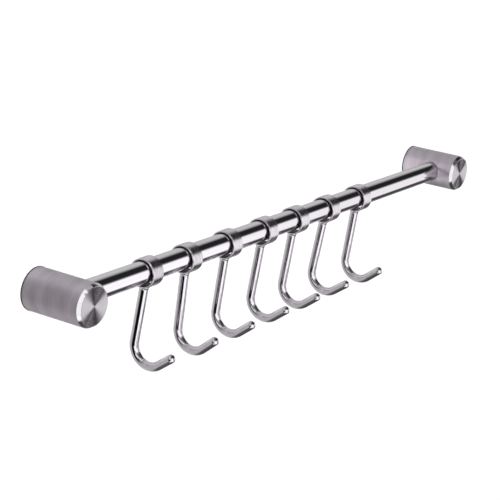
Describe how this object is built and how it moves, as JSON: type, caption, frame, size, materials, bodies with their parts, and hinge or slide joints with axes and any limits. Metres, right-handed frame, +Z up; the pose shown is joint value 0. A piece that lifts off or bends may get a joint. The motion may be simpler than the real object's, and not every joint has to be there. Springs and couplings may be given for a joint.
{
  "type": "kitchen utensil rail",
  "caption": "Round steel wall rail on two turned standoff posts, with sliding ring-mounted J hooks that swing, for hanging kitchen utensils.",
  "frame": {"origin": "midway between the two wall screws, on the wall plane", "axes": "+X along the rail to the right seen from the front, +Y into the wall, +Z up"},
  "size_m": [0.5303, 0.0591, 0.0864],
  "materials": {
    "post_steel": "fine matte brushed barrel with a circularly turned front face and a polished front chamfer",
    "rail_steel": "bright polish over a fine lengthwise grain",
    "collar_steel": "bright polish",
    "hook_steel": "bright polish",
    "disc_steel": "plain turned steel, hidden behind the post",
    "screw_steel": "dark steel set screw",
    "gasket_rubber": "matte black"
  },
  "bodies": {
    "frame": {"rail": "rail_steel", "post_left": "post_steel", "wall_disc_left": "disc_steel", "wall_gasket_left": "gasket_rubber", "grub_screw_left": "screw_steel", "post_right": "post_steel", "wall_disc_right": "disc_steel", "wall_gasket_right": "gasket_rubber", "grub_screw_right": "screw_steel"},
    "collar_1": {"collar_1": "collar_steel"},
    "hook_1": {"hook_1": "hook_steel"},
    "collar_2": {"collar_2": "collar_steel"},
    "hook_2": {"hook_2": "hook_steel"},
    "collar_3": {"collar_3": "collar_steel"},
    "hook_3": {"hook_3": "hook_steel"},
    "collar_4": {"collar_4": "collar_steel"},
    "hook_4": {"hook_4": "hook_steel"},
    "collar_5": {"collar_5": "collar_steel"},
    "hook_5": {"hook_5": "hook_steel"},
    "collar_6": {"collar_6": "collar_steel"},
    "hook_6": {"hook_6": "hook_steel"},
    "collar_7": {"collar_7": "collar_steel"},
    "hook_7": {"hook_7": "hook_steel"}
  },
  "joints": [
    {"name": "hook_1_slide", "type": "slide", "parent": "frame", "child": "collar_1", "axis": [1, 0, 0], "range_m": [-0.062, 0.017]},
    {"name": "hook_1_swing", "type": "hinge", "parent": "collar_1", "child": "hook_1", "pos_m": [-0.167, -0.027, -0.0008], "axis": [1, 0, 0], "range_deg": [-171.8, 17.2]},
    {"name": "hook_2_slide", "type": "slide", "parent": "frame", "child": "collar_2", "axis": [1, 0, 0], "range_m": [-0.017, 0.019]},
    {"name": "hook_2_swing", "type": "hinge", "parent": "collar_2", "child": "hook_2", "pos_m": [-0.1215, -0.027, -0.0008], "axis": [1, 0, 0], "range_deg": [-167.7, 21.3]},
    {"name": "hook_3_slide", "type": "slide", "parent": "frame", "child": "collar_3", "axis": [1, 0, 0], "range_m": [-0.019, 0.018]},
    {"name": "hook_3_swing", "type": "hinge", "parent": "collar_3", "child": "hook_3", "pos_m": [-0.072, -0.027, -0.0008], "axis": [1, 0, 0], "range_deg": [-170, 19]},
    {"name": "hook_4_slide", "type": "slide", "parent": "frame", "child": "collar_4", "axis": [1, 0, 0], "range_m": [-0.018, 0.016]},
    {"name": "hook_4_swing", "type": "hinge", "parent": "collar_4", "child": "hook_4", "pos_m": [-0.0245, -0.027, -0.0008], "axis": [1, 0, 0], "range_deg": [-171.2, 17.8]},
    {"name": "hook_5_slide", "type": "slide", "parent": "frame", "child": "collar_5", "axis": [1, 0, 0], "range_m": [-0.016, 0.017]},
    {"name": "hook_5_swing", "type": "hinge", "parent": "collar_5", "child": "hook_5", "pos_m": [0.019, -0.027, -0.0008], "axis": [1, 0, 0], "range_deg": [-171.1, 17.9]},
    {"name": "hook_6_slide", "type": "slide", "parent": "frame", "child": "collar_6", "axis": [1, 0, 0], "range_m": [-0.017, 0.01825]},
    {"name": "hook_6_swing", "type": "hinge", "parent": "collar_6", "child": "hook_6", "pos_m": [0.0645, -0.027, -0.0008], "axis": [1, 0, 0], "range_deg": [-172.5, 16.5]},
    {"name": "hook_7_slide", "type": "slide", "parent": "frame", "child": "collar_7", "axis": [1, 0, 0], "range_m": [-0.01825, 0.1165]},
    {"name": "hook_7_swing", "type": "hinge", "parent": "collar_7", "child": "hook_7", "pos_m": [0.1125, -0.027, -0.0008], "axis": [1, 0, 0], "range_deg": [-170.2, 18.8]}
  ]
}
